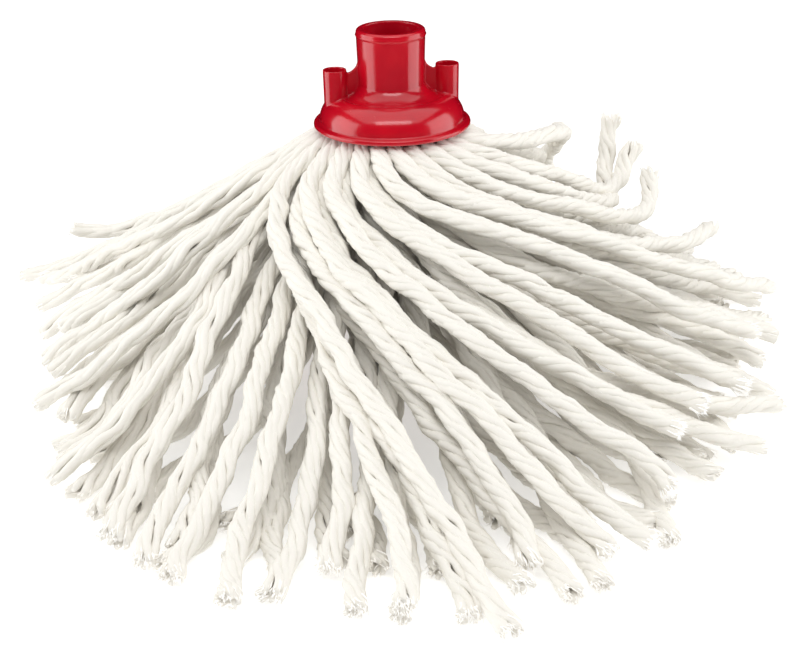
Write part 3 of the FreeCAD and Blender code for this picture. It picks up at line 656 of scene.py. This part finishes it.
class FibreMesh:
    """Collects tubes and fibres, then makes one mesh of them."""

    def __init__(self):
        self.points = []
        self.faces = []
        self.map = []
        self.tones = []
        self.unders = []
        self.looks = []
        self.count = 0

    def add(self, points, faces, around_along, tone, under, look):
        """Points (n, 3), faces as lists of indices, a map coordinate for each face corner."""
        self.looks.append(np.full(len(faces), look))
        self.points.append(points)
        self.faces.extend((face + self.count) for face in faces)
        self.map.extend(around_along)
        self.tones.append(np.full(len(points), tone))
        self.unders.append(under)
        self.count += len(points)

    def tube(self, centres, outward, sideways, radius, reach, tone, under, sides):
        """A closed tube. The seam of its map lies on the inner side, away from outward."""
        rings = len(centres)
        angle = np.arange(sides) * math.tau / sides
        ring = (-np.cos(angle)[None, :, None] * outward[:, None, :] * 0.92
                + np.sin(angle)[None, :, None] * sideways[:, None, :] * 1.04)
        points = (centres[:, None, :] + ring * radius[:, None, None]).reshape(-1, 3)
        caps = np.stack([centres[0], centres[-1]])
        row = np.arange(rings - 1)[:, None] * sides
        col = np.arange(sides)[None, :]
        after = (col + 1) % sides
        quads = np.stack([row + col, row + sides + col, row + sides + after, row + after],
                         axis=-1).reshape(-1, 4)
        u0, u1, v0, v1 = (
            np.broadcast_to(edge, (rings - 1, sides))
            for edge in (col / sides, (col + 1) / sides, reach[:-1, None], reach[1:, None]))
        quad_map = np.stack([u0, v0, u0, v1, u1, v1, u1, v0], axis=-1).reshape(-1, 4, 2)
        first, last = rings * sides, rings * sides + 1
        here, following = col[0], after[0]
        top_row = (rings - 1) * sides
        foot = np.stack([np.full(sides, first), here, following], axis=-1)
        top = np.stack([np.full(sides, last), top_row + following, top_row + here], axis=-1)
        foot_map, top_map = (
            np.tile([[0.5, end], [0.3, end], [0.7, end]], (sides, 1, 1))
            for end in (reach[0], reach[-1]))
        spread = np.concatenate([np.repeat(under, sides), [under[0], under[-1]]])
        self.add(np.concatenate([points, caps]), list(quads) + list(foot) + list(top),
                 list(quad_map) + list(foot_map) + list(top_map), tone, spread, 0)

    def fibres(self, roots, directions, bends, lengths, thickness, tone, under):
        """Fine tapered fibres, each with three flat sides and bent once."""
        count = len(roots)
        side = np.cross(directions, np.broadcast_to([0.13, 0.21, 0.97], directions.shape))
        side /= np.maximum(np.linalg.norm(side, axis=1, keepdims=True), 1e-9)
        third = np.cross(directions, side)
        middle = roots + directions * lengths[:, None] * 0.5
        tip = roots + (directions + bends) * lengths[:, None]
        corner = [(math.cos(a), math.sin(a)) for a in (0.0, 2.094, 4.189)]
        low = [roots + (side * c + third * s) * thickness for c, s in corner]
        mid = [middle + (side * c + third * s) * thickness * 0.8 for c, s in corner]
        points = np.stack(low + mid + [tip], axis=1).reshape(-1, 3)
        pattern = [(0, 1, 4, 3), (1, 2, 5, 4), (2, 0, 3, 5)]
        spikes = [(3, 4, 6), (4, 5, 6), (5, 3, 6), (2, 1, 0)]
        start = np.arange(count)[:, None] * 7
        faces = []
        corners = []
        for shape in pattern + spikes:
            faces.extend(start + np.array(shape)[None, :])
            corners.extend([np.full((len(shape), 2), 0.5)] * count)
        self.add(points, faces, corners, tone, np.full(len(points), under), 1)

    def gathered(self, line, limit):
        """Draws points that stray further than limit from the line back to it."""
        points = np.concatenate(self.points)
        near = np.empty_like(points)
        for first in range(0, len(points), 4000):
            some = points[first:first + 4000]
            apart = ((some[:, None, :] - line[None, :, :]) ** 2).sum(2)
            near[first:first + 4000] = line[apart.argmin(1)]
        away = points - near
        far = np.linalg.norm(away, axis=1, keepdims=True)
        self.points = [near + away * np.minimum(1.0, limit / np.maximum(far, 1e-9))]

    def made(self, name):
        """The finished object: plies in the first material, loose fibres in the second."""
        mesh = bpy.data.meshes.new(name)
        points = np.concatenate(self.points)
        points[:, 2] = np.maximum(points[:, 2], SURFACE_Z + 0.0002)
        sizes = np.array([len(face) for face in self.faces])
        corners = np.concatenate(self.faces).astype(np.int32)
        mesh.vertices.add(len(points))
        mesh.vertices.foreach_set("co", points.astype(np.float32).ravel())
        mesh.loops.add(len(corners))
        mesh.loops.foreach_set("vertex_index", corners)
        mesh.polygons.add(len(sizes))
        mesh.polygons.foreach_set("loop_start", np.concatenate([[0], np.cumsum(sizes)[:-1]]))
        looks = np.concatenate(self.looks).astype(np.int32)
        mesh.polygons.foreach_set("use_smooth", looks == 0)
        mesh.polygons.foreach_set("material_index", looks)
        layer = mesh.uv_layers.new(name="ply")
        layer.data.foreach_set("uv", np.concatenate(self.map).astype(np.float32).ravel())
        # "under" holds the painted shade of the pile for both cotton materials; "tone" is a random tone
        # for each strand.
        for label, values in (("tone", self.tones), ("under", self.unders)):
            made = mesh.attributes.new(label, "FLOAT", "POINT")
            made.data.foreach_set("value", np.concatenate(values).astype(np.float32))
        mesh.materials.append(bpy.data.materials["cotton_yarn"])
        mesh.materials.append(bpy.data.materials["cotton_lint"])
        mesh.update(calc_edges=True)
        mesh.validate()
        return shown(name, mesh)


def shown(name, data):
    """A new object in the scene."""
    made = bpy.data.objects.new(name, data)
    bpy.context.scene.collection.objects.link(made)
    return made


def wave(distance, rng, wavelength):
    """A smooth uneven wave about 0, mostly between -1 and 1."""
    total = np.zeros_like(distance)
    for octave in (1, 2, 3):
        stretch = rng.uniform(0.8, 1.25)
        total += np.sin(math.tau * distance * octave * stretch / wavelength
                        + rng.uniform(0, math.tau)) / octave
    return total / 1.5


def eased(x):
    x = np.clip(x, 0.0, 1.0)
    return x * x * (3 - 2 * x)


def unit(vectors):
    return vectors / np.maximum(np.linalg.norm(vectors, axis=-1, keepdims=True), 1e-12)


# ---------------------------------------------------------------- routes

def place(bearing, reach, height):
    """A point of a route in the frame."""
    angle = math.radians(bearing)
    return Vector((reach * math.sin(angle), -reach * math.cos(angle), SURFACE_Z + height))


def slope_height(slope, reach):
    """Height of a leg's centre above the surface, between the points of its slope."""
    steps = SLOPES[slope]
    return float(np.interp(reach, [r for r, _ in steps], [h for _, h in steps]))


def leg_route(slope, start, end, reach, number):
    """The route of one leg: a sweep from its place at the fold out to its cut end."""
    sweep = (end - start + 180) % 360 - 180
    points = []
    for step, share in enumerate(LEG_STEPS):
        out = LEG_START_R + (reach - LEG_START_R) * share
        turned = math.sin(share * math.pi / 2) ** 1.3
        stray = LEG_WANDER * share * math.sin(1.9 * step + 2.4 * number)
        points.append((start + sweep * turned + stray, out, slope_height(slope, out)))
    return points


def smooth_line(points, steps):
    """Points along the NURBS line of a route, as an unbevelled curve gives them."""
    curve = bpy.data.curves.new("route", "CURVE")
    curve.dimensions = "3D"
    curve.resolution_u = steps
    spline = curve.splines.new("NURBS")
    spline.points.add(len(points) - 1)
    for knot, point in zip(spline.points, points):
        knot.co = (*point, 1.0)
    spline.order_u = 3
    spline.use_endpoint_u = True
    holder = bpy.data.objects.new("route", curve)
    mesh = bpy.data.meshes.new_from_object(holder)
    line = np.array([v.co for v in mesh.vertices], float)
    bpy.data.meshes.remove(mesh)
    bpy.data.curves.remove(curve)
    return line


def distances(line):
    """How far along a line each of its points is."""
    return np.concatenate([[0.0], np.cumsum(np.linalg.norm(np.diff(line, axis=0), axis=1))])


# ---------------------------------------------------------------- yarn

PLY_SHARE = 0.43                        # a ply's radius as a share of its strand's
LOWER_FULLNESS = 1.06                   # how much looser the lower legs are than the top ones
SWAY = 0.0012                           # how far a strand wanders from its route, in metres
UNEVEN_PLY = 0.0010                     # how far a ply strays at its cut end
CUT_BACK = 0.0006                       # from the end of the route to the longest ply's end
UNEVEN_CUT = (0.0009, 0.0018)           # spread, and limit, of how much shorter the others are
BLUNT_END = 0.003                       # length over which a ply narrows to its end
BRUSH_THICK = 0.00034                   # loose fibres at a cut end, which clump together
LINT_THICK = 0.000045                   # single fibres along a strand
SLACK_FROM = -20.0                      # bearings from here to SLACK_TO hold slack strands
SLACK_TO = -140.0
SLACK_LEAST = 0.25                      # how slack the tightest strands are


def slackness(bearing):
    """0 where a strand keeps its twist, 1 where it has unwound: the left fan is slack."""
    turned = (bearing + 180) % 360 - 180
    if turned < SLACK_TO or turned > SLACK_FROM:
        return SLACK_LEAST
    return float(SLACK_LEAST + (1 - SLACK_LEAST) * eased((SLACK_FROM - turned) / 25))


def lay_ply(fibre, centres, middle, thick, reach, tone, under, sides):
    """Adds one ply, which winds round the strand's middle, and gives back its direction."""
    forward = unit(np.gradient(centres, axis=0))
    outward = centres - middle
    outward = unit(outward - forward * (outward * forward).sum(1, keepdims=True))
    fibre.tube(centres, outward, np.cross(forward, outward), thick, reach, tone, under, sides)
    return forward


def spin_strand(fibre, line, bearing, level, rng, settings, top):
    """Adds one strand of yarn: plies that twist, loosen, bulge and fray at the cut end."""
    sides = 8 if top else 6
    reach = distances(line)
    long = reach[-1]
    ahead = unit(np.gradient(line, axis=0))
    side = unit(np.cross(ahead, [0.0, 0.0, 1.0]))
    up = np.cross(side, ahead)

    slack = slackness(bearing) * rng.uniform(0.7, 1.0)
    turn = settings.tight_turn ** (1 - slack) * settings.slack_turn ** slack
    turn *= rng.uniform(0.88, 1.15)
    rate = (1 + 0.25 * wave(reach, rng, 0.08)) / turn
    twist = np.concatenate([[0.0], np.cumsum((rate[1:] + rate[:-1]) / 2 * np.diff(reach))])
    fray = rng.uniform(0.010, 0.022)
    open_end = eased((reach - (long - fray)) / fray)
    flare = settings.flare * rng.uniform(0.2, 1.0)
    crush = 0.06 + 0.16 * slack + 0.09 * wave(reach, rng, 0.06)
    wide = 1.0 + crush + open_end * 0.25
    high = 1.0 - crush - open_end * 0.20
    loose = 0.24 + 0.30 * slack
    radius = settings.diameter / 2 * settings.fullness * (1.0 if top else LOWER_FULLNESS)
    body = 1.0 + 0.05 * wave(reach, rng, 0.05)
    slope = eased(reach / 0.05)
    sway = (side * wave(reach, rng, 0.055)[:, None] + up * wave(reach, rng, 0.07)[:, None] * 0.6)
    line = line + sway * (SWAY * slope)[:, None]
    phase = rng.uniform(0, math.tau)
    tone = rng.uniform(0, 1)
    # Painted shade: "under" darkens legs lower in the pile, most near the fold and less towards the cut
    # end.
    under = level * (1.0 - 0.75 * reach / long)
    gap = radius * (1.0 - PLY_SHARE)

    for ply in range(settings.plies):
        angle = (phase + math.tau * ply / settings.plies + math.tau * twist
                 + loose * wave(reach, rng, 0.03 + 0.03 * slack))
        lift = body * (1.0 + 0.09 * wave(reach, rng, 0.020) + flare * 0.6 * open_end)
        centres = (line
                   + side * (gap * lift * wide * np.cos(angle))[:, None]
                   + up * (gap * lift * high * np.sin(angle))[:, None])
        stray = rng.normal(0, 1, 3) * UNEVEN_PLY * flare
        centres = centres + open_end[:, None] * stray
        short = min(UNEVEN_CUT[1], abs(rng.normal(0, UNEVEN_CUT[0])))
        cut = reach <= long - CUT_BACK - short
        centres, kept, around = centres[cut], reach[cut], line[cut]
        blunt = 1.0 - 0.45 * eased((kept - kept[-1] + BLUNT_END) / BLUNT_END)
        thick = radius * PLY_SHARE * blunt * (
            1 + 0.10 * wave(kept, rng, 0.025) + 0.07 * wave(kept, rng, 0.008)
            + 0.10 * open_end[cut])
        forward = lay_ply(fibre, centres, around, thick, kept, (tone + 0.13 * ply) % 1.0,
                          under[cut], sides)
        if top or ply % 2:
            # Fibres at a cut end take the painted shade of the strand's end.
            brush(fibre, centres, forward, radius * PLY_SHARE, rng, tone, under[-1],
                  16 if top else 8)
    lint(fibre, line, reach, radius, ahead, side, up, rng,
         settings.lint if top else settings.lint // 4, tone, level)


def brush(fibre, centres, forward, thick, rng, tone, under, count):
    """The loose fibres that stand out of a cut ply."""
    at = len(centres) - 1 - rng.integers(0, 3, count)
    spread = rng.normal(0, 1, (count, 3))
    spread -= (spread * forward[at]).sum(1, keepdims=True) * forward[at]
    spread = unit(spread) * np.sqrt(rng.uniform(0, 1, (count, 1)))
    roots = centres[at] + spread * thick * 0.92
    directions = unit(forward[at] + spread * 0.22 + rng.normal(0, 0.07, (count, 3)))
    bends = rng.normal(0, 0.12, (count, 3))
    behind = ((centres[-1] - centres[at]) * forward[at]).sum(1)
    lengths = behind + rng.uniform(0.0008, 0.0026, count)
    fibre.fibres(roots, directions, bends, lengths, BRUSH_THICK, tone, under)


def lint(fibre, line, reach, radius, ahead, side, up, rng, count, tone, level):
    """Short fibres that stand off the strand along its length."""
    at = rng.integers(2, len(line) - 1, count)
    angle = rng.uniform(0, math.tau, count)
    outward = side[at] * np.cos(angle)[:, None] + up[at] * np.sin(angle)[:, None]
    roots = line[at] + outward * radius * 0.84 + ahead[at] * rng.uniform(-1, 1, (count, 1)) * 0.001
    lean = rng.choice([-1.0, 1.0], (count, 1)) * rng.uniform(0.4, 1.6, (count, 1))
    directions = unit(outward + ahead[at] * lean + rng.normal(0, 0.3, (count, 3)))
    bends = ahead[at] * lean * 0.35 - outward * 0.45 + rng.normal(0, 0.15, (count, 3))
    lengths = rng.uniform(0.0012, 0.0034, count)
    # Loose fibres along a strand get half its level as painted shade.
    fibre.fibres(roots, directions, bends, lengths, LINT_THICK, tone, level * 0.5)


def settle(piece):
    """Makes a finished piece ride with the frame."""
    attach(piece, "root")


# ---------------------------------------------------------------- operators

class MOP_OT_stage(bpy.types.Operator):
    """Sets the floor, the studio lights and the camera"""
    bl_idname = "mop.stage"
    bl_label = "Stage"

    def execute(self, context):
        settings = context.scene.mop_stage
        self.floor(settings)
        self.light("side_light_left", (-1.30, -0.15, 0.05), (1.2, 1.5), settings.side_watts)
        self.light("side_light_right", (1.30, -0.10, 0.05), (1.2, 1.5), settings.side_watts * 0.9)
        self.light("top_light", (0.0, -0.10, 1.48), (2.8, 2.2), settings.top_watts)
        self.light("front_light", (0.05, -1.05, 1.30), (1.5, 0.40), settings.front_watts)
        world = bpy.data.worlds.new("surround")
        world.use_nodes = True
        sky = world.node_tree.nodes["Background"]
        sky.inputs["Color"].default_value = (1.0, 1.0, 1.0, 1.0)
        sky.inputs["Strength"].default_value = settings.world_strength
        context.scene.world = world
        world.cycles_visibility.glossy = False
        context.scene.view_settings.view_transform = "Standard"
        self.camera(context.scene, settings)
        return {"FINISHED"}

    def floor(self, settings):
        grid = bmesh.new()
        bmesh.ops.create_grid(grid, x_segments=8, y_segments=8, size=5.0)
        mesh = bpy.data.meshes.new("floor")
        grid.to_mesh(mesh)
        grid.free()
        mesh.materials.append(floor_finish(settings))
        floor = shown("floor", mesh)
        floor.location.z = SURFACE_Z
        floor.visible_glossy = False

    def light(self, name, where, size, watts):
        lamp = bpy.data.lights.new(name, "AREA")
        lamp.shape = "RECTANGLE"
        lamp.size, lamp.size_y = size
        lamp.energy = watts
        holder = shown(name, lamp)
        holder.location = where
        aim = Vector((0.0, 0.0, SURFACE_Z / 2)) - Vector(where)
        holder.rotation_euler = aim.to_track_quat("-Z", "Y").to_euler()

    def camera(self, scene, settings):
        data = bpy.data.cameras.new("camera")
        data.sensor_width = 36.0
        data.lens = settings.lens
        data.clip_start = 0.01
        holder = shown("camera", data)
        holder.location = settings.camera_place
        aim = Euler((math.pi / 2 - settings.camera_pitch, 0.0, settings.camera_yaw)).to_matrix()
        lean = Euler((0.0, 0.0, settings.camera_roll)).to_matrix()
        holder.rotation_euler = (aim @ lean).to_euler()
        scene.camera = holder


class MOP_OT_cap(bpy.types.Operator):
    """Moulds the red socket cap, with softened edges, from its frame solid"""
    bl_idname = "mop.cap"
    bl_label = "Socket cap"

    def execute(self, context):
        settings = context.scene.mop_cap
        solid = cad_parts["socket_cap"].data
        rough = bmesh.new()
        rough.from_mesh(solid)
        bmesh.ops.remove_doubles(rough, verts=rough.verts, dist=2e-6)
        mesh = bpy.data.meshes.new("moulding_blank")
        rough.to_mesh(mesh)
        rough.free()
        blank = shown("moulding_blank", mesh)
        cells = blank.modifiers.new("cells", "REMESH")
        cells.mode = "VOXEL"
        cells.voxel_size = settings.grain
        soften = blank.modifiers.new("soften", "SMOOTH")
        soften.factor = 0.5
        soften.iterations = 2
        context.view_layer.update()
        shaped = bpy.data.meshes.new_from_object(
            blank.evaluated_get(context.evaluated_depsgraph_get()))
        bpy.data.objects.remove(blank)
        if not shaped.polygons:
            raise RuntimeError("the moulding has no faces")
        shaped.polygons.foreach_set("use_smooth", np.ones(len(shaped.polygons), bool))
        shaped.materials.clear()
        shaped.materials.append(red_plastic_finish(settings))
        cap = shown("moulded_cap", shaped)
        settle(cap)
        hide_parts("socket_cap")
        return {"FINISHED"}


class MOP_OT_plate(bpy.types.Operator):
    """Gives the retainer plate and its pins their moulded plastic"""
    bl_idname = "mop.plate"
    bl_label = "Retainer plate"

    def execute(self, context):
        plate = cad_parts["retainer_plate"]
        plate.data.materials.clear()
        plate.data.materials.append(bpy.data.materials["red_plastic"])
        return {"FINISHED"}


class MOP_OT_fold(bpy.types.Operator):
    """Folds the middle of the hank up into the cap"""
    bl_idname = "mop.fold"
    bl_label = "Folded yarn"

    def execute(self, context):
        settings = context.scene.mop_yarn
        rng = np.random.default_rng(settings.seed)
        fibre = FibreMesh()
        side_r = FOLD_HIGH.x * 0.80
        yarns = 13
        for number in range(yarns):
            bearing = 180.0 * number / yarns
            crown = FOLD_HIGH.z - 0.0045 - 0.0006 * (number % 5)
            profile = ((side_r, FOLD_LOW.z + 0.004), (side_r, FOLD_LOW.z + 0.020),
                       (side_r, FLANGE_Z - 0.004), (side_r * 0.9, crown - 0.004),
                       (side_r * 0.45, crown))
            half = [place(bearing, r, z - SURFACE_Z) for r, z in profile]
            other = [place(bearing + 180, r, z - SURFACE_Z) for r, z in reversed(profile)]
            line = smooth_line(half + other, 8)
            self.bundle(fibre, line, rng, settings)
        piece = fibre.made("folded_yarn")
        settle(piece)
        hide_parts("yarn_fold")
        return {"FINISHED"}

    def bundle(self, fibre, line, rng, settings):
        """One fold of yarn over the plate, as thick as its share of the hank."""
        reach = distances(line)
        ahead = unit(np.gradient(line, axis=0))
        flat = unit(np.cross(line[0] - line[-1], [0.0, 0.0, 1.0]))
        side = np.broadcast_to(flat, line.shape)
        up = unit(np.cross(side, ahead))
        radius = settings.diameter * 0.48
        for ply in range(settings.plies):
            angle = math.tau * (ply / settings.plies + reach / 0.06)
            centres = (line + side * (radius * 0.58 * np.cos(angle))[:, None]
                       + up * (radius * 0.58 * np.sin(angle))[:, None])
            thick = radius * 0.42 * (1 + 0.08 * wave(reach, rng, 0.03))
            # 0.7: painted shade on the fold that sits inside the cap.
            lay_ply(fibre, centres, line, thick, reach, rng.uniform(0, 1),
                    np.full(len(line), 0.7), 6)


class MOP_OT_long_strands(bpy.types.Operator):
    """Lays the 40 strands that reach furthest, each as a free cord"""
    bl_idname = "mop.long_strands"
    bl_label = "Long strands"

    def execute(self, context):
        settings = context.scene.mop_yarn
        for number, (name, route) in enumerate(STRANDS.items()):
            rng = np.random.default_rng(settings.seed * 1000 + number)
            points = [place(*point) for point in route]
            line = smooth_line(points, 14)
            fibre = FibreMesh()
            level = (TOP_START - route[0][2]) / PILE_DEPTH
            # The top strands get lighter painted shade: their level counts for 0.6.
            spin_strand(fibre, line, route[-1][0], level * 0.6, rng, settings, top=True)
            fibre.gathered(line, settings.reach)
            piece = fibre.made("yarn_" + name)
            settle(piece)
            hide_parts(name)
        return {"FINISHED"}


class MOP_OT_lower_strands(bpy.types.Operator):
    """Lays the other 132 legs of the pile, a level and a side at a time"""
    bl_idname = "mop.lower_strands"
    bl_label = "Lower strands"

    def execute(self, context):
        settings = context.scene.mop_yarn
        number = 0
        for name, groups in LEGS.items():
            fibre = FibreMesh()
            for slope, legs in groups:
                level = (TOP_START - SLOPES[slope][0][1]) / PILE_DEPTH
                for start, end, reach in legs:
                    number += 1
                    rng = np.random.default_rng(settings.seed * 2000 + number)
                    route = leg_route(slope, start, end, reach, number)
                    line = smooth_line([place(*point) for point in route], 10)
                    spin_strand(fibre, line, end, level, rng, settings, top=False)
            piece = fibre.made("yarn_" + name)
            settle(piece)
            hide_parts(name)
        return {"FINISHED"}


class MOP_PT_sidebar(bpy.types.Panel):
    """Lists the settings and the steps that build the mop head"""
    bl_label = "String mop"
    bl_idname = "MOP_PT_sidebar"
    bl_space_type = "VIEW_3D"
    bl_region_type = "UI"
    bl_category = "String mop"

    def draw(self, context):
        for group in (context.scene.mop_yarn, context.scene.mop_cap, context.scene.mop_stage):
            for name in group.bl_rna.properties.keys():
                if name not in ("rna_type", "name"):
                    self.layout.prop(group, name)
        for step in STEPS:
            self.layout.operator(step.bl_idname)


STEPS = (MOP_OT_stage, MOP_OT_cap, MOP_OT_plate, MOP_OT_long_strands, MOP_OT_lower_strands,
         MOP_OT_fold)
CLASSES = (YarnSettings, CapSettings, StageSettings, *STEPS, MOP_PT_sidebar)


def register():
    for entry in CLASSES:
        bpy.utils.register_class(entry)
    bpy.types.Scene.mop_yarn = bpy.props.PointerProperty(type=YarnSettings)
    bpy.types.Scene.mop_cap = bpy.props.PointerProperty(type=CapSettings)
    bpy.types.Scene.mop_stage = bpy.props.PointerProperty(type=StageSettings)


def unregister():
    del bpy.types.Scene.mop_stage
    del bpy.types.Scene.mop_cap
    del bpy.types.Scene.mop_yarn
    for entry in reversed(CLASSES):
        bpy.utils.unregister_class(entry)


def main():
    register()
    cotton_finish(bpy.context.scene.mop_yarn)
    lint_finish(bpy.context.scene.mop_yarn)
    bpy.ops.mop.stage()
    bpy.ops.mop.cap()
    bpy.ops.mop.plate()
    bpy.ops.mop.long_strands()
    bpy.ops.mop.lower_strands()
    bpy.ops.mop.fold()


if __name__ == "__main__":
    main()
